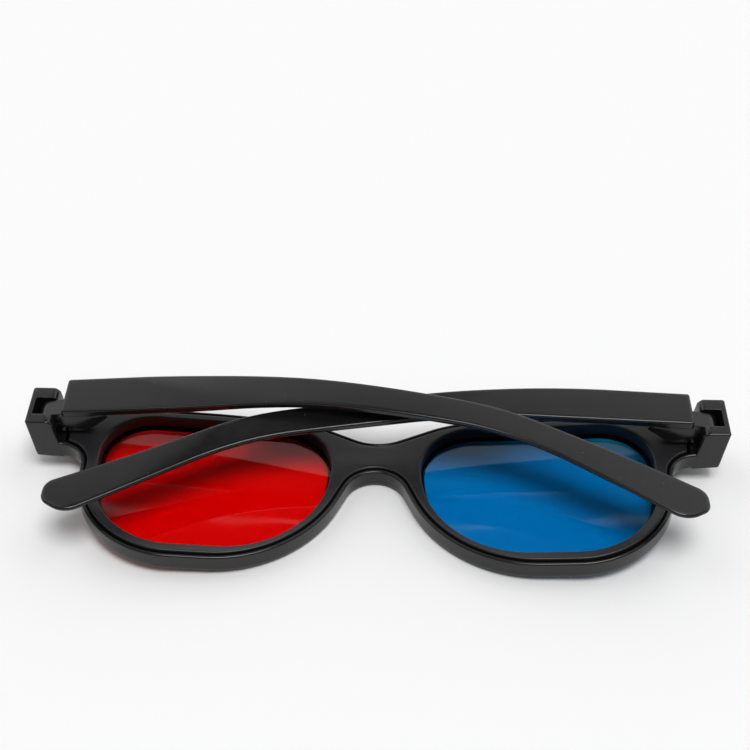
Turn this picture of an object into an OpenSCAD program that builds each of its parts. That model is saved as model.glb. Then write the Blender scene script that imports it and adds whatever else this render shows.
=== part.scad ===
// Folding plastic 3D glasses with one red and one cyan film lens, lying face down with the
// temples folded. X runs across the face, Y up the face as worn, Z from the front to the wearer.
// The origin is under the middle of the front.

/* [Front] */
// Width over the two hinge boxes
overall_w = 148; // [140:1:160]
// Width over the two rims
rim_w = 124; // [118:1:128]
// Radius of the gentle wrap of the whole front, about an upright axis
wrap_r = 700; // [450:10:1500]
// Thickness of the rims from the front to the rear edge
rim_t = 4.2; // [3.6:0.1:5.4]
// Depth of the rims below the middle line
rim_low = 20.5; // [18:0.1:24]
// Half distance between the sharp lower corners at the nose
nose_corner_x = 15.2; // [13:0.1:18]
// Height of the sharp tip of the nose arch
arch_y = 14.2; // [12:0.1:15]
// Radius of the nose arch
arch_r = 6.5; // [4:0.1:7]
// Radius of the rims at the nose
rim_in_r = 28; // [18:0.5:30]
// Radius of the rims at the temples
rim_out_r = 21; // [12:0.5:22]
// Height of the sharp dip over the bridge
bridge_y = 12; // [11:0.1:14]
// Radius of the dip over the bridge
bridge_r = 11; // [6:0.5:18]
// Place of the inner brow corner across the face
brow_in_x = 15.5; // [14:0.1:18]
// Height of the inner brow corner
brow_in_y = 19.3; // [18:0.1:20]
// Radius of the inner brow corner
brow_in_r = 24; // [10:0.5:26]
// Place of the top of the brow across the face
brow_x = 46; // [42:0.5:50]
// Height of the sharp top of the brow
brow_y = 21.5; // [20.5:0.1:23]
// Radius of the brow
brow_r = 190; // [80:5:200]

/* [Lenses] */
// Width of the rim beside the lens opening at the temples
rim_side_w = 3.6; // [3:0.1:5]
// Width of the rim under the lens opening
rim_low_w = 2.8; // [2.6:0.1:4.5]
// Drop of the lens opening below the sharp brow
rim_top_w = 3.5; // [3.3:0.1:5]
// Distance from the rim's sharp lower nose corner to the lens opening's
rim_nose_w = 4.2; // [3.4:0.1:4.4]
// Thickness of the lens film
lens_t = 0.5; // [0.3:0.05:0.8]
// Width of lens held under the rear frame
lens_hold = 0.9; // [0.5:0.05:1]
// Thickness of the front lip that the lens lies on
lip_t = 1.2; // [0.8:0.05:1.5]
// Reach of the front lip past the rear opening
lip_reach = 1.4; // [0.8:0.1:2]
// Width of the bevel round the front of each lens
bevel_w = 1.7; // [1:0.1:2]
// Radius of the lens opening's lower corner at the nose
eye_in_r = 22; // [14:0.5:24]
// Radius of the lens opening's lower corner at the temple
eye_out_r = 17; // [10:0.5:18]
// Radius of the lens opening's upper corner at the nose
eye_brow_in_r = 12; // [8:0.5:13]
// Radius of the lens opening's upper corner at the temple
eye_brow_out_r = 11; // [8:0.5:12]

/* [Rear frame] */
// Thickness of the front frame's wall round the rear frame
wall_t = 0.9; // [0.6:0.05:1.1]
// Gap between the wall and the rear frame
seam = 0.3; // [0.1:0.05:0.4]
// Height of the rear frame above the wall's rear edge
rear_rise = 0.3; // [0:0.05:0.5]
// Gap between the rear frame's ends and the hinge boxes
rear_gap = 0.7; // [0.3:0.1:1.5]

/* [Hinges] */
// Height of the rear face of the hinge boxes above the front
box_z = 13.6; // [12.5:0.1:16]
// Height of the hinge boxes' middle above the middle line
hinge_y = 13.3; // [12.5:0.1:14]
// Size of a hinge box up the face
box_h = 10.2; // [9:0.1:10.6]
// Width of a hinge box at its rear face
box_w = 5.8; // [5.4:0.1:7]
// Lean of the box's outer face between the rear and the front
box_lean = 1.5; // [0.5:0.1:2]
// Lean of the box's inner face between the rear and the front
box_in_lean = 1.8; // [0.3:0.1:2]
// Width of the fork's slot
slot_w = 4.9; // [4:0.1:5.5]
// Thickness of the box's outer wall beside the slot
fork_wall = 1.1; // [0.8:0.05:1.2]
// Distance from the box's outer face to the pivot
pivot_in = 4.2; // [3.8:0.1:4.4]
// Distance from the box's rear face down to the pivot
pivot_down = 3.2; // [2.9:0.1:3.6]
// Radius of the temple's knuckle
knuckle_r = 2.2; // [1.8:0.05:2.3]
// Radius of the pivot stubs on the knuckle
stub_r = 0.9; // [0.7:0.05:1.1]
// Length of the pivot stubs
stub_l = 1.1; // [0.8:0.1:1.5]
// Radial play of the stubs in their bores
stub_play = 0.05; // [0.02:0.01:0.1]
// Play beside the knuckle, under it and at the end of the temple
hinge_play = 0.15; // [0.1:0.01:0.25]

/* [Temples] */
// Distance from the pivot to the sharp corner of a temple's tip
temple_l = 138.5; // [128:0.5:142]
// Thickness of a temple at the hinge
temple_t = 2; // [1.6:0.1:2.2]
// Thickness of a temple at the tip
tip_t = 1.5; // [1.2:0.1:2]
// Height of a temple at the hinge
root_h = 9.1; // [8.4:0.1:10]
// Depth of a temple below the pivot at the hinge
root_low = 2.9; // [2.6:0.1:3.4]
// Distance from the pivot to the bar's sharp top
crown_s = 40; // [30:0.5:46]
// Height of the bar's sharp top above the pivot
crown_y = 8.2; // [7.5:0.1:9]
// Distance from the pivot to the bar's sharp underside
belly_s = 51; // [44:0.5:56]
// Depth of the bar's sharp underside below the pivot
belly_y = 0.8; // [0:0.1:2]
// Distance from the pivot to the ear bend
bend_s = 97; // [92:0.5:103]
// Height of a temple at the ear bend
bend_h = 7.1; // [6.5:0.1:9]
// Drop of the ear bend below the pivot
bend_drop = 1.7; // [1:0.1:6]
// Radius of the ear bend
bend_r = 60; // [40:5:70]
// Slope of the ear piece below the bar
ear_slope = 26.4; // [24:0.2:34]
// Width of the tip across its end
tip_w = 9.9; // [7:0.1:11]
// Radius of the inward bow of the ear piece
bow_r = 1000; // [700:50:2000]
// Distance from the pivot to where the bow starts
bow_s = 55; // [45:1:60]
// Gap between the crossed temples at the middle of the face
rest_play = 0.3; // [0.2:0.05:0.6]

/* [Hidden] */
// Largest distance between an arc and the straight pieces that stand for it
arc_error = 0.03;
// Sides of the large cylinders that give the wrap
wrap_sides = 720;
// Sides of pins, bores and knuckles
pin_sides = 48;
// Overrun of a cutting shape past the face that it cuts
over = 1;
// Depth of every upright extrusion that is then cut to the wrap
tall = 40;

frame_black = "#26272b";
rear_black = "#2e2f33";
lens_red = [0.85, 0.05, 0.04, 0.6];
lens_cyan = [0.02, 0.62, 0.85, 0.6];

// Smallest radius of a rounding
least_r = 0.1;

// Straight lines of the front's sides and of the lugs that carry the hinge boxes
rim_x = rim_w / 2;
box_out_x = overall_w / 2;
box_in_x = box_out_x - box_w;
lug_in = 0.5;
lug_drop = 0.2;
lug_rise = 0.1;
lug_r = 0.8;
crook_r = 5;
lug_x = box_out_x - box_lean - lug_in;
lug_low = hinge_y - box_h / 2 - lug_drop;
lug_top = hinge_y + box_h / 2 + lug_rise;

// Foot of the hinge boxes' profile and place of their outer side at a height
box_foot = 2;
function box_side(z) = box_out_x - box_lean * (box_z - z) / (box_z - box_foot);

// End of the rear frame's space at the foot of the right hinge box
pocket_x = box_in_x - box_in_lean;

// Pivot of the right temple
pivot_x = box_out_x - pivot_in;
pivot_z = box_z - pivot_down;

// Depths below the front face at which the layers of the front change, and play round a lens's edge
lens_play = 0.05;
lens_edge_play = 0.15;
lens_depth = lip_t + lens_play;
ring_depth = lens_depth + lens_t + lens_play;

// Plane vectors
function unit(v) = v / norm(v);
function across(v) = [-v.y, v.x];
function flat(v) = [v.x, v.y];
function mirrored(v) = [-v.x, v.y, v[2]];

// Members before and after place i in a closed list
function before(v, i) = v[(i + len(v) - 1) % len(v)];
function after(v, i) = v[(i + 1) % len(v)];

// Directions of the edges into and out of corner i, and the turn between them
function edge_in(v, i) = unit(flat(v[i]) - flat(before(v, i)));
function edge_out(v, i) = unit(flat(after(v, i)) - flat(v[i]));
function turn(v, i) = atan2(cross(edge_in(v, i), edge_out(v, i)), edge_in(v, i) * edge_out(v, i));

// Sharp corners [x, y, radius] drawn in by d, each edge staying parallel to itself
function drawn_in(v, d) = [for (i = [0:len(v) - 1])
    let (
        u0 = edge_in(v, i),
        u1 = edge_out(v, i),
        place = flat(v[i]) + d * (across(u0) + across(u1)) / (1 + u0 * u1)
    )
    [place.x, place.y, max(v[i][2] - sign(turn(v, i)) * d, least_r)]];

// Length of edge that a corner's rounding takes up
function taken(v, i) = v[i][2] * tan(abs(turn(v, i)) / 2);

// Radii cut down where two roundings would meet on an edge
function fitted(v) =
    let (
        n = len(v),
        spare = 0.98,
        use = [for (i = [0:n - 1]) taken(v, i)],
        share = [for (i = [0:n - 1]) spare * norm(flat(after(v, i)) - flat(v[i])) / (use[i] + after(use, i))]
    )
    [for (i = [0:n - 1]) [v[i].x, v[i].y, v[i][2] * min(1, before(share, i), share[i])]];

// Straight pieces that stand for a rounding
function arc_steps(r, angle) = max(2, ceil(abs(angle) / (2 * acos(1 - arc_error / max(r, least_r)))));

// Points of the rounding at corner i, in n pieces
function arc(v, i, n) =
    let (
        u = edge_in(v, i),
        angle = turn(v, i),
        side = sign(angle),
        r = v[i][2],
        middle = flat(v[i]) - taken(v, i) * u + side * r * across(u),
        start = atan2(-side * u.x, side * u.y)
    )
    [for (k = [0:n]) middle + r * [cos(start + angle * k / n), sin(start + angle * k / n)]];

// Points of an outline given as sharp corners [x, y, radius], drawn in by d
function outline(v, d = 0) =
    let (w = fitted(drawn_in(v, d)))
    [for (i = [0:len(v) - 1]) each arc(w, i, arc_steps(v[i][2], turn(v, i)))];

// Corners of the whole front, from the nose arch round the right half to the bridge
front_half = [
    [0, arch_y, arch_r],
    [nose_corner_x, -rim_low, rim_in_r],
    [rim_x, -rim_low, rim_out_r],
    [rim_x, lug_low, crook_r],
    [lug_x, lug_low, lug_r],
    [lug_x, lug_top, lug_r],
    [brow_x, brow_y, brow_r],
    [brow_in_x, brow_in_y, brow_in_r],
    [0, bridge_y, bridge_r]
];
front_corners = concat(front_half, [for (i = [len(front_half) - 2:-1:1]) mirrored(front_half[i])]);

// Corners of the right rear opening, whose sides lean and whose top falls towards the nose
eye_in_lean = 2.4;
eye_out_lean = 1.1;
eye_fall = 0.8;
eye_in_x = nose_corner_x - rim_nose_w;
eye_out_x = rim_x - rim_side_w;
eye_low = -rim_low + rim_low_w;
eye_top = brow_y - rim_top_w;
eye_corners = [
    [eye_in_x - eye_in_lean, eye_top - eye_fall, eye_brow_in_r],
    [eye_in_x, eye_low, eye_in_r],
    [eye_out_x - eye_out_lean / 2, eye_low, eye_out_r],
    [eye_out_x + eye_out_lean / 2, eye_top, eye_brow_out_r]
];

// Middle of the front's height, which is the origin of Y
front_points = outline(front_corners);
y_mid = (max([for (p = front_points) p.y]) + min([for (p = front_points) p.y])) / 2;

// Height of the wrapped front face above the table
function sag(x) = wrap_r - sqrt(wrap_r * wrap_r - x * x);

module placed() translate([0, -y_mid, 0]) children();

// Both hands of a shape made for the right side
module both_sides() {
    children();
    mirror([1, 0, 0]) children();
}

// Everything deeper than the given depth below the wrapped front face
module behind(depth) {
    translate([0, tall, wrap_r])
        rotate([90, 0, 0])
            cylinder(r = wrap_r - depth, h = 2 * tall, $fn = wrap_sides);
}

// Everything within the given distance of the middle
module within(x) translate([-x, -tall, -over]) cube([2 * x, 2 * tall, tall]);

// Upright block with the given outline
module block(points) translate([0, 0, -over]) linear_extrude(tall) polygon(points);

// Wrapped layer with the given outline between two depths
module layer(points, from, to) {
    difference() {
        intersection() {
            block(points);
            behind(from);
        }
        behind(to);
    }
}

// Closed skin over rings that have the same number of points
module skin(rings) {
    n = len(rings[0]);
    m = len(rings);
    sides = [for (j = [0:m - 2]) for (i = [0:n - 1])
        let (k = (i + 1) % n)
        each [[j * n + i, (j + 1) * n + k, j * n + k], [j * n + i, (j + 1) * n + i, (j + 1) * n + k]]];
    bottom = [for (i = [0:n - 1]) i];
    top = [for (i = [n - 1:-1:0]) (m - 1) * n + i];
    polyhedron([for (ring = rings) each ring], concat([bottom], sides, [top]));
}

// Lens aperture through the front lip, bevelled towards the front
module bevelled_aperture() {
    land = 0.2;
    bevel_t = lip_t - land;
    inner = outline(eye_corners, lip_reach);
    outer = outline(eye_corners, lip_reach - bevel_w * (1 + over / bevel_t));
    skin([
        [for (p = outer) [p.x, p.y, -2 * over]],
        [for (p = outer) [p.x, p.y, sag(p.x) - over]],
        [for (p = inner) [p.x, p.y, sag(p.x) + bevel_t]],
        [for (p = inner) [p.x, p.y, tall / 2]]
    ]);
}

// Hinge box on the right lug: two cheeks, an outer wall and a floor
module hinge_box() {
    chamfer = 0.9;
    draft = 0.15;
    intersection() {
        translate([0, 2 * tall, 0])
            rotate([90, 0, 0])
                linear_extrude(3 * tall)
                    polygon([
                        [pocket_x, box_foot],
                        [box_side(box_foot), box_foot],
                        [box_out_x, box_z],
                        [box_in_x + chamfer, box_z],
                        [box_in_x, box_z - chamfer]
                    ]);
        rotate([90, 0, 90])
            linear_extrude(2 * overall_w)
                polygon([
                    [hinge_y - box_h / 2 - draft, 0],
                    [hinge_y + box_h / 2 + draft, 0],
                    [hinge_y + box_h / 2, box_z + over],
                    [hinge_y - box_h / 2, box_z + over]
                ]);
        behind(0);
    }
}

// Slot and blind bores of the right hinge box
module hinge_cuts() {
    floor_z = pivot_z - knuckle_r - 2 * hinge_play;
    open_z = box_z + over;
    bore_l = slot_w + 2 * (stub_l + hinge_play);
    translate([0, hinge_y + slot_w / 2, 0])
        rotate([90, 0, 0])
            linear_extrude(slot_w)
                polygon([
                    [rim_x, floor_z],
                    [box_side(floor_z) - fork_wall, floor_z],
                    [box_side(open_z) - fork_wall, open_z],
                    [rim_x, open_z]
                ]);
    translate([pivot_x, hinge_y, pivot_z])
        rotate([90, 0, 0])
            cylinder(r = stub_r + stub_play, h = bore_l, center = true, $fn = pin_sides);
}

module front_frame() {
    color(frame_black)
        placed()
            difference() {
                union() {
                    layer(front_points, 0, rim_t);
                    both_sides() hinge_box();
                }
                intersection() {
                    block(outline(front_corners, wall_t));
                    within(pocket_x);
                    behind(ring_depth);
                }
                both_sides() {
                    intersection() {
                        block(outline(eye_corners, -lens_hold - lens_edge_play));
                        behind(lip_t);
                    }
                    bevelled_aperture();
                    hinge_cuts();
                }
            }
}

module rear_frame() {
    color(rear_black)
        placed()
            difference() {
                intersection() {
                    layer(outline(front_corners, wall_t + seam), ring_depth, rim_t + rear_rise);
                    within(pocket_x - rear_gap);
                }
                both_sides() block(outline(eye_corners));
            }
}

// Right lens: a flat-cut film bent to the wrap
module lens() layer(outline(eye_corners, -lens_hold), lens_depth, lens_depth + lens_t);

module red_lens() color(lens_red) placed() mirror([1, 0, 0]) lens();

module cyan_lens() color(lens_cyan) placed() lens();

// Distances of the temple's outer face, inner face and end from the pivot
stop_play = 0.1;
face_out = pivot_in;
face_in = face_out - temple_t;
root_s = pivot_down + stop_play;

// Corners of a temple, with s from the pivot along the bar and y from the hinge's middle
root_r = 0.6;
belly_r = 120;
crown_r = 180;
bend_lead = 1.4;
tip_lean = 60;
ear_tip = [temple_l, -bend_drop - (temple_l - bend_s) * tan(ear_slope)];
temple_corners = [
    [root_s, -root_low, root_r],
    [belly_s, -belly_y, belly_r],
    [bend_s + bend_lead, -bend_drop - bend_h, bend_r],
    [ear_tip.x - tip_w * cos(tip_lean), ear_tip.y - tip_w * sin(tip_lean), tip_w / 2],
    [ear_tip.x, ear_tip.y, tip_w / 2],
    [bend_s, -bend_drop, bend_r],
    [crown_s, crown_y, crown_r],
    [root_s, root_h - root_low, root_r]
];

// Inward bow of the ear piece and thickness along the temple
function bow(s) = s > bow_s ? bow_r - sqrt(bow_r * bow_r - (s - bow_s) * (s - bow_s)) : 0;
function temple_thick(s) = temple_t - (temple_t - tip_t) * s / temple_l;

// Angle at which the left temple rests on top of the right one
rest_lift = asin((temple_thick(pivot_x) + rest_play) / pivot_x);

// Outer face, then inner face, seen from above
bow_steps = 10;
face_s = concat([0], [for (k = [0:bow_steps]) bow_s + (temple_l + over - bow_s) * k / bow_steps]);
temple_faces = concat(
    [for (s = face_s) [s, face_out - bow(s)]],
    [for (i = [len(face_s) - 1:-1:0]) [face_s[i], face_out - bow(face_s[i]) - temple_thick(face_s[i])]]
);

// Temple about its pivot, reaching along +X with its outer face towards +Z
module temple() {
    tongue_w = slot_w - 2 * hinge_play;
    tongue_s = 8;
    tongue_end = 14;
    neck_h = 0.7;
    sunk = 0.1;
    pin_l = tongue_w + 2 * stub_l;
    intersection() {
        translate([0, 0, -tall / 2]) linear_extrude(tall) polygon(outline(temple_corners));
        translate([0, tall, 0]) rotate([90, 0, 0]) linear_extrude(2 * tall) polygon(temple_faces);
    }
    translate([0, tongue_w / 2, 0])
        rotate([90, 0, 0])
            linear_extrude(tongue_w)
                polygon([
                    [0, -knuckle_r],
                    [tongue_s, -knuckle_r],
                    [tongue_end, face_in + sunk],
                    [root_s + sunk, face_in + sunk],
                    [root_s + sunk, face_in + neck_h],
                    [0, knuckle_r]
                ]);
    rotate([90, 0, 0]) cylinder(r = knuckle_r, h = tongue_w, center = true, $fn = pin_sides);
    rotate([90, 0, 0]) cylinder(r = stub_r, h = pin_l, center = true, $fn = pin_sides);
}

module right_temple() {
    color(frame_black)
        placed()
            translate([pivot_x, hinge_y, pivot_z])
                mirror([1, 0, 0])
                    temple();
}

module left_temple() {
    color(frame_black)
        placed()
            translate([-pivot_x, hinge_y, pivot_z])
                rotate([0, -rest_lift, 0])
                    temple();
}

front_frame();
rear_frame();
red_lens();
cyan_lens();
left_temple();
right_temple();
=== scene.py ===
import math

import bmesh
import bpy
import numpy as np
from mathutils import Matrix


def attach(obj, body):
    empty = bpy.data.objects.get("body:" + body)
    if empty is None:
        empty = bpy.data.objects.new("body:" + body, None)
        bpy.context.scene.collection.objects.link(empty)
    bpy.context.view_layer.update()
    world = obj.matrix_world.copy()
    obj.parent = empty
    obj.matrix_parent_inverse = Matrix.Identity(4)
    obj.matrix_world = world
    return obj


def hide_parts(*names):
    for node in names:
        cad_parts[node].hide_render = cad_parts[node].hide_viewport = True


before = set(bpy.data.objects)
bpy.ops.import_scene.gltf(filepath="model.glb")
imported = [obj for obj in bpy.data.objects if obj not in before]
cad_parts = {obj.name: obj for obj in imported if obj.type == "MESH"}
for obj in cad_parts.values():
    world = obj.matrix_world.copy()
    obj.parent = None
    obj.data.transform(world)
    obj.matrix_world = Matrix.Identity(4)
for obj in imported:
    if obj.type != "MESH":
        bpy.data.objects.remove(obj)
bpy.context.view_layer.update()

# Front frame: the black shell that faces the world, one injection moulding in glossy ABS.
# A lip inside each rim carries a lens, a thin wall stands round the back, and each end has a
# lug with a forked box that a temple snaps into. All sizes are in mm.
MM = 0.001
wrap_r = 700
rim_t = 4.2
wall_t = 0.9
lip_t = 1.2
lip_reach = 0.8
lip_land = 0.2
bevel_w = 1.2
lens_t = 0.5
lens_hold = 0.9
lens_play = 0.05
lens_edge_play = 0.15
seat_depth = lip_t + lens_t + 2 * lens_play
front_edge_r = 0.8
rear_edge_r = 0.42
wall_edge_r = 0.42
rim_x = 62
rim_low = 20.5
rim_in_r = 28
rim_out_r = 21
nose_x = 15.2
arch_y = 14.2
arch_r = 6.5
bridge_y = 12
bridge_r = 11
brow_x = 46
brow_y = 21.5
brow_r = 190
brow_in_corner = [15.5, 19.3, 24]
hinge_y = 13.3
box_h = 10.2
lug_x = 72
lug_r = 0.8
lug_neck_r = 5
lug_under = 0.2
lug_over = 0.1
lug_low = hinge_y - box_h / 2 - lug_under
lug_top = hinge_y + box_h / 2 + lug_over

# Corners of the front's right half, each as x, y and radius, from the nose arch round to the bridge.
front_half = [
    [0, arch_y, arch_r],
    [nose_x, -rim_low, rim_in_r],
    [rim_x, -rim_low, rim_out_r],
    [rim_x, lug_low, lug_neck_r],
    [lug_x, lug_low, lug_r],
    [lug_x, lug_top, lug_r],
    [brow_x, brow_y, brow_r],
    brow_in_corner,
    [0, bridge_y, bridge_r],
]

# Corners of the lens opening, each as x, y and radius, placed from the rim's and the brow's own corners.
eye_low = 3.4
eye_nose_low = 4.2
eye_nose_top = 6.6
eye_side_low = 4.15
eye_side_top = 3.05
eye_brow_in = 4.3
eye_brow_out = 3.5
eye_corners = [
    [nose_x - eye_nose_top, brow_y - eye_brow_in, 12],
    [nose_x - eye_nose_low, -rim_low + eye_low, 22],
    [rim_x - eye_side_low, -rim_low + eye_low, 17],
    [rim_x - eye_side_top, brow_y - eye_brow_out, 11],
]
box_in_x = 68.2
box_in_lean = 1.8
pocket_x = box_in_x - box_in_lean
hub = np.array([34.0, 8.5])
fine_spacing = 0.4


def both_halves(corners):
    """Corners of the right half, then those of the left half in turn, without the ones on the middle."""
    return corners + [[-x, y, r] for x, y, r in reversed(corners) if x > 0]


def left_of(v):
    """Directions turned a quarter to the left."""
    return np.stack([-v[:, 1], v[:, 0]], 1)


def roundings(corners, inset, least_r=0.1, edge_share=0.98):
    """Corners [x, y, radius] with every edge moved in by inset, each radius less the inset on an outer
    corner and more on an inner one, cut down where two roundings take more than a share of an edge.
    Gives the places, the radii, the turn at each corner and the direction into it."""
    into = corners[:, :2] - np.roll(corners[:, :2], 1, 0)
    into /= np.linalg.norm(into, axis=1)[:, None]
    out = np.roll(into, -1, 0)
    along = (into * out).sum(1)
    turn = np.arctan2(into[:, 0] * out[:, 1] - into[:, 1] * out[:, 0], along)
    place = corners[:, :2] + inset * (left_of(into) + left_of(out)) / (1 + along)[:, None]
    radius = np.maximum(corners[:, 2] - np.sign(turn) * inset, least_r)
    taken = radius * np.tan(abs(turn) / 2)
    edge = np.linalg.norm(np.roll(place, -1, 0) - place, axis=1)
    share = edge_share * edge / (taken + np.roll(taken, -1))
    radius *= np.minimum(1, np.minimum(share, np.roll(share, 1)))
    return place, radius, turn, into


def outline(corners, inset=0.0, spacing=0.9, cuts=None, least_half=3):
    """Closed loop round rounded corners: an arc at each corner, then a straight stretch to the next one.
    The cuts come from the shape without inset, so that loops of one shape match point by point. Gives
    the loop and the index of its first arc's middle."""
    corners = np.array(corners, float)
    place, radius, turn, into = roundings(corners, 0)
    taken = radius * np.tan(abs(turn) / 2)
    straight = np.linalg.norm(np.roll(place, -1, 0) - place, axis=1) - taken - np.roll(taken, -1)
    arc_cuts = 2 * np.maximum(least_half, np.ceil(abs(turn) * radius / spacing / 2)).astype(int)
    line_cuts = np.maximum(1, np.ceil(straight / spacing)).astype(int)
    if cuts:
        arc_cuts, line_cuts = cuts
    place, radius, turn, into = roundings(corners, inset)
    side = np.sign(turn)
    taken = radius * np.tan(abs(turn) / 2)
    centre = place - taken[:, None] * into + (side * radius)[:, None] * left_of(into)
    start = np.arctan2(-side * into[:, 0], side * into[:, 1])
    arcs = []
    for i, n in enumerate(arc_cuts):
        angle = start[i] + turn[i] * np.linspace(0, 1, n + 1)
        arcs.append(centre[i] + radius[i] * np.stack([np.cos(angle), np.sin(angle)], 1))
    loop = []
    for arc, following, n in zip(arcs, arcs[1:] + arcs[:1], line_cuts):
        loop += [arc, np.linspace(arc[-1], following[0], n + 1)[1:-1]]
    return np.concatenate(loop), arc_cuts[0] // 2


front_loop = outline(both_halves(front_half))[0]
y_mid = (front_loop[:, 1].max() + front_loop[:, 1].min()) / 2


def half_front(inset):
    """Right half of the front's outline, from the top of the nose arch round to the dip over the bridge."""
    loop, first = outline(both_halves(front_half), inset)
    ring = np.roll(loop, -first, 0)[:len(loop) // 2 + 1]
    ring[[0, -1], 0] = 0
    return ring


def shut(ring, count=9):
    """A half ring closed by points on the middle line, from its end back to its start."""
    return np.concatenate([ring, np.linspace(ring[-1], ring[0], count + 2)[1:-1]])


def bearing(ring):
    """Angle of each point about the middle of the eye."""
    return np.arctan2(ring[:, 1] - hub[1], ring[:, 0] - hub[0])


def reach(loop, angles):
    """Distance from the middle of the eye out to a loop round it, at each angle."""
    return np.interp(angles, bearing(loop), np.linalg.norm(loop - hub, axis=1), period=2 * np.pi)


def round_hub(angles, distance):
    """Points at the given angles and distances from the middle of the eye."""
    return hub + distance[:, None] * np.stack([np.cos(angles), np.sin(angles)], 1)


eye_angles = bearing(shut(half_front(0)))


def eye(inset, angles=eye_angles):
    """The lens opening's outline drawn in by inset, cut by the rays that run to the front's outline."""
    return round_hub(angles, reach(outline(eye_corners, inset, fine_spacing)[0], angles))


def pocket(inset, end):
    """Half outline of the rear frame's space: the front's own outline drawn in, and cut off short of the
    hinge box."""
    ring = half_front(inset)
    return np.column_stack([np.minimum(ring[:, 0], end), ring[:, 1]])


def wrapped(ring, depth):
    """A flat ring laid on the wrap, a cylinder about an upright axis, the given depth behind the front
    face."""
    height = wrap_r - np.sqrt((wrap_r - depth) ** 2 - ring[:, 0] ** 2)
    return np.column_stack([ring[:, 0], ring[:, 1] - y_mid, height])


def between(a, b, rows):
    """Rows that run evenly from row a to row b, without either."""
    return [a + (b - a) * t for t in np.linspace(0, 1, rows + 2)[1:-1]]


def quads(rows, around=True):
    """Points and faces of a surface grid, whose rows have equal counts and may close on themselves."""
    rows = np.array(rows)
    m, n = rows.shape[:2]
    index = np.arange(m * n).reshape(m, n)
    if around:
        index = np.column_stack([index, index[:, 0]])
    faces = np.stack([index[:-1, :-1], index[:-1, 1:], index[1:, 1:], index[1:, :-1]], -1)
    return rows.reshape(-1, 3), faces.reshape(-1, 4)


def piece_of(name, grids, mirror=False, weld=0.002, sliver=0.0001):
    """A closed object from surface grids in mm: points nearer than the weld are joined, faces thinner
    than a sliver go, and normals point outwards. A mirrored piece has its left half added."""
    points, faces, count = [], [], 0
    for p, f in grids:
        for flip in ([1, -1] if mirror else [1]):
            points.append(p * [flip, 1, 1] * MM)
            faces.append(f + count)
            count += len(p)
    mesh = bpy.data.meshes.new(name)
    mesh.from_pydata(np.concatenate(points).tolist(), [], np.concatenate(faces).tolist())
    welded = bmesh.new()
    welded.from_mesh(mesh)
    bmesh.ops.remove_doubles(welded, verts=welded.verts, dist=weld * MM)
    bmesh.ops.dissolve_degenerate(welded, edges=welded.edges, dist=sliver * MM)
    bmesh.ops.recalc_face_normals(welded, faces=welded.faces)
    welded.to_mesh(mesh)
    welded.free()
    obj = bpy.data.objects.new(name, mesh)
    bpy.context.scene.collection.objects.link(obj)
    return obj


def carve(obj, tool, operation):
    """Joins tool to obj, or cuts it out of obj, for good."""
    step = obj.modifiers.new("carve", "BOOLEAN")
    step.operation = operation
    step.solver = "EXACT"
    step.object = tool
    done = bpy.data.meshes.new_from_object(obj.evaluated_get(bpy.context.evaluated_depsgraph_get()))
    obj.modifiers.remove(step)
    obj.data = done
    bpy.data.objects.remove(tool)


def quarter(radius, count=5):
    """Rounding of a square edge, as a quarter circle from the face to the side: pairs of the distance in
    from the side and from the face."""
    angle = np.linspace(0, math.pi / 2, count)
    return list(zip(radius * (1 - np.sin(angle)), radius * (1 - np.cos(angle))))


front_edge = [wrapped(half_front(inset), depth) for inset, depth in quarter(front_edge_r)]
rear_edge = [wrapped(half_front(inset), rim_t - depth) for inset, depth in quarter(rear_edge_r)][::-1]
wall_edge = [wrapped(pocket(wall_t - i, pocket_x + i), rim_t - depth) for i, depth in quarter(wall_edge_r)]
seat_edge = pocket(wall_t, pocket_x)
seat_side = wrapped(seat_edge, seat_depth)
outside = front_edge + between(front_edge[-1], rear_edge[0], rows=2) + rear_edge
outside += between(rear_edge[-1], wall_edge[0], rows=4) + wall_edge
outside += between(wall_edge[-1], seat_side, rows=2) + [seat_side]

lens_seat = [
    wrapped(eye(-lens_hold - lens_edge_play), seat_depth),
    wrapped(eye(-lens_hold - lens_edge_play), lip_t),
    wrapped(eye(lip_reach), lip_t),
    wrapped(eye(lip_reach), lip_t - lip_land),
    wrapped(eye(lip_reach - bevel_w), 0),
]
seat_face = wrapped(shut(seat_edge), seat_depth)
front_face = wrapped(shut(half_front(front_edge_r)), 0)
inside = [seat_face] + between(seat_face, lens_seat[0], rows=1) + lens_seat[:4]
inside += between(*lens_seat[3:], rows=2) + [lens_seat[4]]
inside += between(lens_seat[4], front_face, rows=8) + [front_face]
front = piece_of("front_shell", [quads(outside, around=False), quads(inside)], mirror=True)

# Hinge boxes of the front: each leans outwards to the rear, and a slot open to the rear and the
# inner side makes it a fork, with a blind bore in each cheek.
box_z = 13.6
box_out_x = 74
box_lean = 1.5
box_foot = 2
box_chamfer = 0.9
box_edge_r = 0.35
box_corner_r = 0.5
box_draft = 0.4
box_rise = 0.5
box_levels = [5, 7, 9, 11, box_z - box_chamfer]
foot_level = 4
foot_recess = 0.12
slot_w = 4.9
slot_mouth = 4
slot_edge_r = 0.2
slot_corner_r = 0.2
fork_wall = 1.1
pivot_x = 69.8
pivot_z = 10.4
knuckle_r = 2.2
knuckle_play = 0.3
slot_floor = pivot_z - knuckle_r - knuckle_play
slot_straight = 2
slot_over = 1
bore_r = 0.95
bore_depth = 1.25
bore_l = slot_w + 2 * bore_depth


def box_side(height):
    """Place of the hinge box's outer side at a height: it leans out towards the rear."""
    return box_out_x - box_lean * (box_z - height) / (box_z - box_foot)


def rectangle(low, high, down, up, radius):
    """Corners of an upright rectangle, all with one radius."""
    return [[low, down, radius], [high, down, radius], [high, up, radius], [low, up, radius]]


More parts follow.
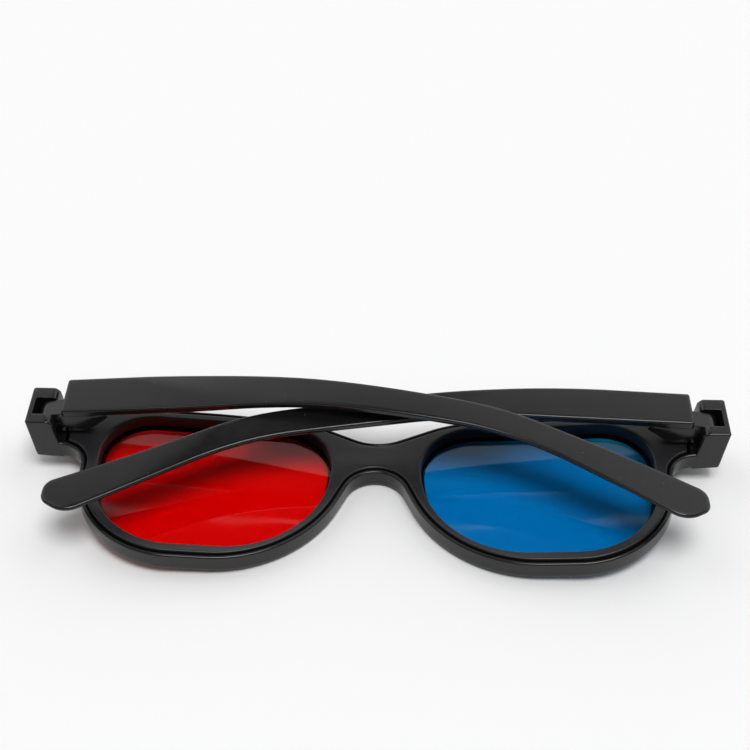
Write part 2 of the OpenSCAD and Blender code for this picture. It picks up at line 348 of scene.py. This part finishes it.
def box_ring(height, inset):
    """Rounded rectangle round the hinge box at a height: towards the rear its outer and inner sides lean
    out, its lower end draws in, its upper end rises and its inner side slopes off at the chamfer. All
    four are drawn in by inset."""
    below = box_z - box_chamfer - height
    lean = box_in_lean * max(0, below) / (box_z - box_chamfer - box_foot)
    low = box_in_x - lean - min(0, below) + inset
    high = box_side(height) - inset
    down = hinge_y - box_h / 2 - box_draft * (1 - height / box_z) + inset
    up = hinge_y + box_h / 2 + box_rise * height / box_z - inset
    return outline(rectangle(low, high, down, up, box_corner_r), cuts=([6] * 4, [4] * 4))[0]


def level(ring, height):
    """A flat ring laid level at a height."""
    return np.column_stack([ring[:, 0], ring[:, 1] - y_mid, np.full(len(ring), height)])


def pointed(rows, steps=0):
    """Rows with both ends closed by rows that shrink in steps to the middle of the end row."""
    first = rows[0] * 0 + rows[0].mean(0)
    last = rows[-1] * 0 + rows[-1].mean(0)
    return [first] + between(first, rows[0], steps) + rows + between(rows[-1], last, steps) + [last]


def hinge_box():
    """The fork's block, as rings from its foot on the wrapped front face to its flat rear face."""
    edge = quarter(box_edge_r)
    rows = [wrapped(box_ring(foot_level, inset), depth + foot_recess) for inset, depth in edge]
    rows += [level(box_ring(z, 0), z) for z in box_levels]
    rows += [level(box_ring(box_z - depth, inset), box_z - depth) for inset, depth in edge[::-1]]
    return quads(pointed(rows, steps=2))


def slot_tool(count=5):
    """The fork's slot, open to the rear and the inner side, with its outer wall leaning as the box's side
    does, flared at the top by a quarter circle to round its edge."""
    turn = np.linspace(0, math.pi / 2, count)
    rounding = box_z - slot_edge_r * (1 - np.sin(turn))
    levels = [slot_floor, slot_floor + slot_straight, *rounding, box_z + slot_over]
    flares = [0, 0, *(slot_edge_r * (1 - np.cos(turn))), slot_edge_r]
    rows = []
    for z, flare in zip(levels, flares):
        high = box_side(z) - fork_wall + flare
        half = slot_w / 2 + flare
        corners = rectangle(box_in_x - slot_mouth, high, -half, half, slot_corner_r)
        ring = outline(corners, cuts=([4] * 4, [2] * 4))[0]
        rows.append(level(ring + [0, hinge_y], z))
    return quads(pointed(rows))


def rod(x, y, z, radius, length, count=32):
    """A rod along Y about a middle point: circles from one end's middle to the other's, with a small
    chamfer at each end."""
    chamfer_at = 0.96
    chamfer_r = 0.85
    profile = [(-1, 0), (-1, chamfer_r), (-chamfer_at, 1), (0, 1), (chamfer_at, 1), (1, chamfer_r), (1, 0)]
    angle = np.linspace(0, 2 * math.pi, count, endpoint=False)
    rows = []
    for share, size in profile:
        along = np.full(count, y + share * length / 2)
        rows.append(np.column_stack([
            x + radius * size * np.cos(angle),
            along,
            z + radius * size * np.sin(angle),
        ]))
    return quads(rows)


hinge_line = (hinge_y - y_mid, pivot_z)
for side in (1, -1):
    hand = [side, 1, 1]
    for name, grid, operation in (
        ("box", hinge_box(), "UNION"),
        ("slot", slot_tool(), "DIFFERENCE"),
        ("bore", rod(pivot_x, *hinge_line, bore_r, bore_l), "DIFFERENCE"),
    ):
        carve(front, piece_of(name, [(grid[0] * hand, grid[1])]), operation)


def linear(code):
    """Linear colour of an sRGB hex code."""
    c = np.array([int(code[i:i + 2], 16) for i in (1, 3, 5)]) / 255
    return (*np.where(c <= 0.04045, c / 12.92, ((c + 0.055) / 1.055) ** 2.4), 1)


def add(tree, kind, sockets, **settings):
    """A new node with its settings, each socket given a value or linked from another node's output."""
    made = tree.nodes.new("ShaderNode" + kind)
    for key, value in settings.items():
        setattr(made, key, value)
    for key, value in sockets.items():
        if isinstance(value, bpy.types.NodeSocket):
            tree.links.new(value, made.inputs[key])
        else:
            made.inputs[key].default_value = value
    return made


def per_mm(size):
    """Texture scale at which a pattern's features are size mm apart."""
    return 1 / (size * MM)


def moulded_abs(name, dark, pale, gloss, grain):
    """Injection-moulded black ABS. The eye sees a shiny skin with clouds from the flow of the melt,
    rubbed patches that shine less, a few specks of dust and the faint grain of a spark-eroded mould.
    The real grain is finer than the render can show, so it is drawn coarser. A speck's edge and core are
    shares of the gap between specks."""
    flow_w = 7
    speck_gap = 3.4
    edge_at = 0.05
    core_at = 0.025
    rub_w = 2.2
    rub_dulls = 0.14
    grain_w = 0.35
    grain_h = 0.02
    material = bpy.data.materials.new(name)
    material.use_nodes = True
    tree = material.node_tree
    shader = tree.nodes["Principled BSDF"]
    place = add(tree, "TexCoord", {}).outputs["Object"]
    flow = add(tree, "TexNoise", {"Vector": place, "Scale": per_mm(flow_w), "Detail": 4})
    tones = {"Color1": linear(dark), "Color2": linear(pale)}
    tone = add(tree, "MixRGB", {"Fac": flow.outputs["Fac"], **tones})
    specks = add(tree, "TexVoronoi", {"Vector": place, "Scale": per_mm(speck_gap), "Randomness": 1})
    speck_edge = {"From Min": edge_at, "From Max": core_at}
    is_speck = add(tree, "MapRange", {"Value": specks.outputs["Distance"], **speck_edge})
    tones = {"Color1": tone.outputs["Color"], "Color2": linear("#4a4a4c")}
    dusty = add(tree, "MixRGB", {"Fac": is_speck.outputs["Result"], **tones})
    tree.links.new(dusty.outputs["Color"], shader.inputs["Base Color"])
    rubs = add(tree, "TexNoise", {"Vector": place, "Scale": per_mm(rub_w), "Detail": 6})
    dulled = {"To Min": gloss, "To Max": gloss + rub_dulls}
    shine = add(tree, "MapRange", {"Value": rubs.outputs["Fac"], **dulled})
    tree.links.new(shine.outputs["Result"], shader.inputs["Roughness"])
    grit = add(tree, "TexNoise", {"Vector": place, "Scale": per_mm(grain_w), "Detail": 2})
    bump = add(tree, "Bump", {"Height": grit.outputs["Fac"], "Strength": grain, "Distance": grain_h * MM})
    tree.links.new(bump.outputs["Normal"], shader.inputs["Normal"])
    shader.inputs["IOR"].default_value = 1.48
    return material


def finish_piece(obj, material, body, slot, *nodes):
    """Smooth shading with sharp creases, a material, and the body and nodes that the piece goes with.
    The slot is not used."""
    crease = math.radians(38)
    obj.data.polygons.foreach_set("use_smooth", np.ones(len(obj.data.polygons), bool))
    obj.data.set_sharp_from_angle(angle=crease)
    step = obj.modifiers.new("even shading", "WEIGHTED_NORMAL")
    step.keep_sharp = True
    obj.data.materials.clear()
    obj.data.materials.append(material)
    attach(obj, body)
    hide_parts(*nodes)


frame_abs = moulded_abs("moulded black ABS", "#121213", "#181819", gloss=0.1, grain=0.2)
finish_piece(front, frame_abs, "front", "frame_plastic", "front_frame")

# Lenses: two pieces of clear film, dyed red for the left eye and cyan for the right one.
# Each is cut flat, dropped into its seat in the front and bent to the wrap.
lens_depth = lip_t + lens_play
ripple_t = 0.006
ripple_l = 21
film_tilt = 0.0024
film_points = 160
film_rings = 25
long_skew = 0.35
cross_x = 0.6
cross_y = 0.4


def lens(name, side, turn):
    """A film: the eye's outline shrunk in rings to its middle, on both faces. It ripples a little in
    depth, as a product of two waves, and its upper edge sinks by the tilt."""
    edge = eye(-lens_hold, np.linspace(-math.pi, math.pi, film_points, endpoint=False))
    rings = [hub + (edge - hub) * t for t in np.linspace(0, 1, film_rings)]
    rows = []
    for depth, order in ((lens_depth, rings), (lens_depth + lens_t, rings[::-1])):
        for ring in order:
            row = wrapped(ring, depth)
            across, up = 2 * math.pi * (ring - hub).T / ripple_l
            long_wave = np.sin(long_skew * across + up + turn)
            cross_wave = np.cos(cross_x * across - cross_y * up + turn)
            row[:, 2] += ripple_t * long_wave * cross_wave
            row[:, 2] -= film_tilt * (ring[:, 1] - hub[1])
            rows.append(row * [side, 1, 1])
    return piece_of(name, [quads(rows)])


def dyed_film(name, tint):
    """Dyed clear film. The eye sees a sharp gloss on both faces, dulled a little by fine scuffs, and one
    pure colour, because the dye takes out the others. Lamp light passes straight through, coloured at
    each of the two faces by the square root of the tint."""
    scuff_w = 6
    scuff_dulls = 0.05
    material = bpy.data.materials.new(name)
    material.use_nodes = True
    tree = material.node_tree
    shader = tree.nodes["Principled BSDF"]
    place = add(tree, "TexCoord", {}).outputs["Object"]
    scuffs = add(tree, "TexNoise", {"Vector": place, "Scale": per_mm(scuff_w), "Detail": 5})
    dull = add(tree, "MapRange", {"Value": scuffs.outputs["Fac"], "To Min": 0, "To Max": scuff_dulls})
    tree.links.new(dull.outputs["Result"], shader.inputs["Roughness"])
    shader.inputs["Base Color"].default_value = tint
    shader.inputs["Transmission Weight"].default_value = 1
    shader.inputs["IOR"].default_value = 1.49
    lamp_ray = add(tree, "LightPath", {}).outputs["Is Shadow Ray"]
    passed = add(tree, "BsdfTransparent", {"Color": np.sqrt(tint)})
    seen = add(tree, "MixShader", {"Fac": lamp_ray, 1: shader.outputs["BSDF"], 2: passed.outputs["BSDF"]})
    tree.links.new(seen.outputs["Shader"], tree.nodes["Material Output"].inputs["Surface"])
    return material


red_film = dyed_film("dyed red film", linear("#d41a13"))
cyan_film = dyed_film("dyed cyan film", linear("#0f98c2"))
finish_piece(lens("red_film_lens", -1, turn=0.6), red_film, "front", "red_film", "red_lens")
finish_piece(lens("cyan_film_lens", 1, turn=2.1), cyan_film, "front", "cyan_film", "cyan_lens")

# Rear frame: a second black ABS moulding, more satin, that is pressed into the front's wall and
# clamps the lenses. It covers both rims, the bridge and the lugs, and along the lower rims its
# face falls to the lens.
seam = 0.3
rear_rise = 0.3
rear_gap = 0.7
rear_t = rim_t + rear_rise
ring_edge_r = 0.3
opening_edge_r = 0.45
ring_fall = 0.24
ring_fall_w = 1.4
fall_from = 4
fall_to = -6
warp_mid = 0.0026
warp_end = -0.0125
opening = [wrapped(eye(-inset), rear_t - depth) for inset, depth in quarter(opening_edge_r)]


def fallen(row):
    """A row of the rear face lowered next to the opening: evenly with nearness, and only low on the
    rims."""
    near = np.clip(1 - np.linalg.norm((row - opening[0])[:, :2], axis=1) / ring_fall_w, 0, 1)
    low = np.clip((fall_from - row[:, 1]) / (fall_from - fall_to), 0, 1)
    return row - np.column_stack([0 * near, 0 * near, ring_fall * near * low])


def warped(row):
    """A row of the rear face with the slight twist of the moulding: its lean goes from one small value
    at the bridge to another at the lugs, as the square of the distance from the middle."""
    lean = warp_mid + (warp_end - warp_mid) * (row[:, 0] / pocket_x) ** 2
    return row + np.column_stack([0 * lean, 0 * lean, lean * (row[:, 1] - hinge_y)])


def rear_edge_of(inset):
    """Half outline of the rear frame drawn in by inset."""
    return pocket(wall_t + seam + inset, pocket_x - rear_gap - inset)


side_wall = [warped(wrapped(rear_edge_of(inset), rear_t - depth)) for inset, depth in quarter(ring_edge_r)]
side_foot = wrapped(rear_edge_of(0), seat_depth)
side_wall += between(side_wall[-1], side_foot, rows=1) + [side_foot]
opening_foot = wrapped(eye(0), seat_depth)
foot = wrapped(shut(rear_edge_of(0)), seat_depth)
top = wrapped(shut(rear_edge_of(ring_edge_r)), rear_t)
rear_face = [top] + [fallen(row) for row in between(top, opening[0], rows=12) + opening]
ring = [warped(row) for row in rear_face]
ring += between(ring[-1], opening_foot, rows=2) + [opening_foot]
ring += between(opening_foot, foot, rows=1) + [foot]
rear = piece_of("rear_ring", [quads(side_wall, around=False), quads(ring)], mirror=True)
rear_abs = moulded_abs("moulded black ABS, rear frame", "#1c1c1e", "#232325", gloss=0.26, grain=0.2)
finish_piece(rear, rear_abs, "front", "rear_plastic", "rear_frame")

# Temples: two long black ABS mouldings, mirror images, each with a rib and a knuckle whose
# stubs snap into the fork. Folded, the left one lies over the right one, and both bend a little.
# Lengths along a temple start at its pivot.
temple_l = 138.5
temple_t = 2
tip_t = 1
root_h = 9.1
root_low = 2.9
root_s = 3.3
root_r = 0.6
belly_corner = [51, -0.8, 120]
crown_corner = [40, 8.2, 180]
bend_s = 97
bend_h = 7.1
bend_drop = 1.7
bend_skew = 1.4
bend_r = 60
ear_slope = math.radians(26.4)
tip_heel = [131.4, -29.4, 5]
tip_toe = [136.6, -26, 2.8]
tip_s = 136.5
tip_r = 3.2
tip_y = -bend_drop - (tip_s - bend_s) * math.tan(ear_slope)
face_out = 4.2
face_in = face_out - temple_t
face_crown = 0.02
bow_r = 1000
bow_s = 55
temple_edge_r = 0.5
flex_s = 100
arch_s = 25
arch_l = 90
cap_s = 70
cap_pull = 0.985
cap_shares = [0, 0.3, 0.6, 0.85]

# Corners of a temple seen from its side, each as length, height and radius. The last two, the crown
# and the root's upper corner, are the ones that rise. The cuts are those of each corner's arc, then
# those of the straight stretch after it.
temple_corners = [
    [root_s, -root_low, root_r],
    belly_corner,
    [bend_s + bend_skew, -bend_drop - bend_h, bend_r],
    tip_heel,
    tip_toe,
    [tip_s, tip_y, tip_r],
    [bend_s, -bend_drop, bend_r],
    crown_corner,
    [root_s, root_h - root_low, root_r],
]
temple_cuts = ([4, 24, 24, 12, 12, 12, 24, 24, 4], [20, 20, 20, 2, 2, 20, 20, 20, 1])

# Corners of the tongue seen from its side, each as length, height and radius: the round knuckle at
# the pivot and the rib, which is let into the bar's inner face.
tongue_play = 0.3
tongue_w = slot_w - tongue_play
tongue_bevel = 0.15
bevel_from = 0.95
tongue_hub = 1.5
rib_flat_l = 8
rib_l = 14
rib_sink = 0.3
root_sink = 0.75
root_lap = 0.4
knuckle_low = 0.05
knuckle_ease = 0.2
tongue_corners = [
    [-knuckle_r, -knuckle_r, knuckle_r],
    [rib_flat_l, -knuckle_r, 3],
    [rib_l, face_in + rib_sink, 0.6],
    [root_s + root_lap, face_in + rib_sink, 0.1],
    [root_s + root_lap, face_in + root_sink, 0.1],
    [-knuckle_r, knuckle_r - knuckle_low, knuckle_r - knuckle_ease],
]
stub_r = 0.9
stub_l = 1.1


def bar_ring(inset, depth, inner, flex, arch, rise, twist):
    """Outline of the temple drawn in by inset, at a depth in from its bowed outer or inner face. The ear
    bends by flex at the tip, as a square from where it starts, the middle arches up by a cosine hump, the
    last two corners are higher by rise, and the bar leans about its middle line by the twist at each
    length."""
    rises_from = len(temple_corners) - 2
    corners = [[s, y + rise * (i >= rises_from), r] for i, (s, y, r) in enumerate(temple_corners)]
    flat = outline(corners, inset, cuts=temple_cuts)[0]
    s = flat[:, 0]
    bow = bow_r - np.sqrt(bow_r ** 2 - np.clip(s - bow_s, 0, None) ** 2)
    thick = temple_t - (temple_t - tip_t) * s / temple_l
    bend = flex * (np.clip(s - flex_s, 0, None) / (temple_l - flex_s)) ** 2
    bend += arch * (1 - np.cos(2 * math.pi * np.clip((s - arch_s) / arch_l, 0, 1))) / 2
    lean = np.interp(s, *zip(*twist)) * (flat - flat[::-1])[:, 1] / 2
    down = thick - depth if inner else depth
    return np.column_stack([flat, face_out - bow + bend + lean - down])


def cap(ring, crown):
    """Rows that shrink a temple's edge ring to its middle line, where its lower and upper halves meet.
    The middle line stops short of both ends, so that the end faces have some width."""
    middle = (ring + ring[::-1]) / 2
    s, y, z = middle[:len(ring) // 2 + 1].T
    short = cap_s + (middle[:, 0] - cap_s) * cap_pull
    middle = np.column_stack([short, np.interp(short, s, y), np.interp(short, s, z)])
    return [middle + (ring - middle) * t + [0, 0, crown * (1 - t ** 2)] for t in cap_shares]


def tongue():
    """The knuckle and rib: their outline carried across the tongue's width, with bevelled edges, and
    closed at both ends by a point."""
    rows = []
    for share, inset in ((-1, tongue_bevel), (-bevel_from, 0), (bevel_from, 0), (1, tongue_bevel)):
        flat = outline(tongue_corners, inset, fine_spacing)[0]
        rows.append(np.column_stack([flat[:, 0], np.full(len(flat), share * tongue_w / 2), flat[:, 1]]))
    ends = [row * 0 + [tongue_hub, row[0, 1], 0] for row in (rows[0], rows[-1])]
    return quads(ends[:1] + rows + ends[1:])


def temple(name, place, **bends):
    """Bar as rings from the outer face's middle line over the rounded edges to the inner face's middle
    line, joined to its tongue and stubs."""
    edge = quarter(temple_edge_r)
    outer_edge = [bar_ring(inset, depth, inner=False, **bends) for inset, depth in edge]
    inner_edge = [bar_ring(inset, depth, inner=True, **bends) for inset, depth in edge][::-1]
    rows = cap(outer_edge[0], face_crown) + outer_edge + inner_edge + cap(inner_edge[-1], 0)[::-1]
    points, faces = quads(rows)
    bar = piece_of(name, [(place(points), faces)])
    for points, faces in (tongue(), rod(0, 0, 0, stub_r, tongue_w + 2 * stub_l)):
        carve(bar, piece_of("tongue", [(place(points), faces)]), "UNION")
    return bar


def on_right(p):
    """Right hinge: the bar runs from the pivot towards the left."""
    return p * [-1, 1, 1] + [pivot_x, *hinge_line]


rest_lift = math.radians(1.681)


def on_left(p):
    """Left hinge: the bar runs towards the right, turned up by the lift to lie on the other one."""
    cos = math.cos(rest_lift)
    sin = math.sin(rest_lift)
    across = p[:, 0] * cos - p[:, 2] * sin
    up = p[:, 0] * sin + p[:, 2] * cos
    return np.column_stack([across, p[:, 1], up]) + [-pivot_x, *hinge_line]


under_twist = [(46, 0), (68, 0.055), (104, 0.055), (120, 0)]
no_twist = [(0, 0)]
temple_abs = moulded_abs("moulded black ABS, temple", "#101011", "#171718", gloss=0.14, grain=0.3)
right_bar = temple("right_temple_bar", on_right, flex=2, arch=0, rise=0, twist=under_twist)
left_bar = temple("left_temple_bar", on_left, flex=-1.6, arch=1.5, rise=0.9, twist=no_twist)
finish_piece(right_bar, temple_abs, "right_arm", "temple_plastic", "right_temple")
finish_piece(left_bar, temple_abs, "left_arm", "temple_plastic", "left_temple")

# Table and light: a matt white table in a room, under a wide soft lamp that hangs almost overhead.
# The far wall is pale, the ceiling over it has a dark middle, bright sides and one thin streak, and
# the camera's side of the room is dim.
floor_half = 6
floor_corners = [(-floor_half, -floor_half, 0), (floor_half, -floor_half, 0)]
floor_corners += [(floor_half, floor_half, 0), (-floor_half, floor_half, 0)]
floor_mesh = bpy.data.meshes.new("table")
floor_mesh.from_pydata(floor_corners, [], [(0, 1, 2, 3)])
floor = bpy.data.objects.new("table", floor_mesh)
bpy.context.scene.collection.objects.link(floor)
white = bpy.data.materials.new("white table")
white.use_nodes = True
white.node_tree.nodes["Principled BSDF"].inputs["Base Color"].default_value = linear("#f7f7f7")
white.node_tree.nodes["Principled BSDF"].inputs["Specular IOR Level"].default_value = 0
floor_mesh.materials.append(white)

# Brightness of the wall and of the camera's side by angle in degrees above the table, and of the
# ceiling by the X of the direction.
wall_levels = [(0, 0.9), (17, 0.9), (19, 1.2), (37, 1.2), (39, 0.66), (90, 0.66)]
near_levels = [(0, 0.15), (90, 0.2)]
ceiling_levels = [(-1, 1.1), (-0.29, 1.1), (-0.27, 0.95), (-0.225, 0.95), (-0.205, 0.03)]
ceiling_levels += [(0.11, 0.03), (0.13, 0.75), (0.25, 0.75), (0.27, 1.35), (1, 1.35)]
peak = 3
wall_top = 47.3
wall_top_blur = 0.12
side_blur = 0.2
streak_at = 48.8
streak_half = 0.12
streak_core = 0.6
streak_level = 0.55
surround = bpy.data.worlds.new("surround")
surround.use_nodes = True
bpy.context.scene.world = surround
room = surround.node_tree


def height_of(angle):
    """Z of a direction at an angle in degrees above the table."""
    return math.sin(math.radians(angle))


toward = add(room, "TexCoord", {}).outputs["Generated"]
axes = add(room, "SeparateXYZ", {"Vector": toward}).outputs
across = add(room, "MapRange", {"Value": axes["X"], "From Min": -1, "From Max": 1}).outputs["Result"]
zones = []
for place, stops in (
    (axes["Z"], [(height_of(angle), grey) for angle, grey in wall_levels]),
    (axes["Z"], [(height_of(angle), grey) for angle, grey in near_levels]),
    (across, [((x + 1) / 2, grey) for x, grey in ceiling_levels]),
):
    zone = add(room, "ValToRGB", {"Fac": place})
    marks = zone.color_ramp.elements
    while len(marks) < len(stops):
        marks.new(0.5)
    for mark, (at, grey) in zip(marks, stops):
        mark.position = at
        mark.color = (grey / peak, grey / peak, grey / peak, 1)
    zones.append(zone.outputs["Color"])
wall, near_side, ceiling = zones

off = add(room, "Math", {0: axes["Z"], 1: height_of(streak_at)}, operation="SUBTRACT").outputs["Value"]
off = add(room, "Math", {0: off}, operation="ABSOLUTE").outputs["Value"]
streak_w = height_of(streak_at + streak_half) - height_of(streak_at)
streak_edge = {"From Min": streak_w, "From Max": streak_core * streak_w, "To Max": streak_level / peak}
streak = add(room, "MapRange", {"Value": off, **streak_edge}).outputs["Result"]
streaked = add(room, "MixRGB", {"Fac": 1, "Color1": ceiling, "Color2": streak}, blend_type="ADD")
wall_low = height_of(wall_top - wall_top_blur)
wall_high = height_of(wall_top + wall_top_blur)
above = add(room, "MapRange", {"Value": axes["Z"], "From Min": wall_low, "From Max": wall_high})
over_and_under = {"Color1": wall, "Color2": streaked.outputs["Color"]}
far_side = add(room, "MixRGB", {"Fac": above.outputs["Result"], **over_and_under})
is_far = add(room, "MapRange", {"Value": axes["Y"], "From Min": -side_blur, "From Max": side_blur})
sides = {"Color1": near_side, "Color2": far_side.outputs["Color"]}
all_round = add(room, "MixRGB", {"Fac": is_far.outputs["Result"], **sides})
room.links.new(all_round.outputs["Color"], room.nodes["Background"].inputs["Color"])
room.nodes["Background"].inputs["Strength"].default_value = peak

key = bpy.data.lights.new("key", "SUN")
key.energy = 1.63
key.angle = math.radians(30)
key_lamp = bpy.data.objects.new("key", key)
key_lamp.rotation_euler = (math.radians(13), math.radians(7), 0)
bpy.context.scene.collection.objects.link(key_lamp)

# Camera: it looks down at the folded glasses from the rims' lower side, at the photograph's angle.
camera = bpy.data.objects.new("camera", bpy.data.cameras.new("camera"))
camera.location = (0.0053, -0.2057, 0.2283)
camera.rotation_euler = (math.radians(47), 0, math.radians(1.5))
camera.data.lens = 69.6
camera.data.sensor_width = 36
camera.data.clip_start = 0.01
bpy.context.scene.collection.objects.link(camera)
bpy.context.scene.camera = camera
bpy.context.scene.view_settings.view_transform = "Standard"
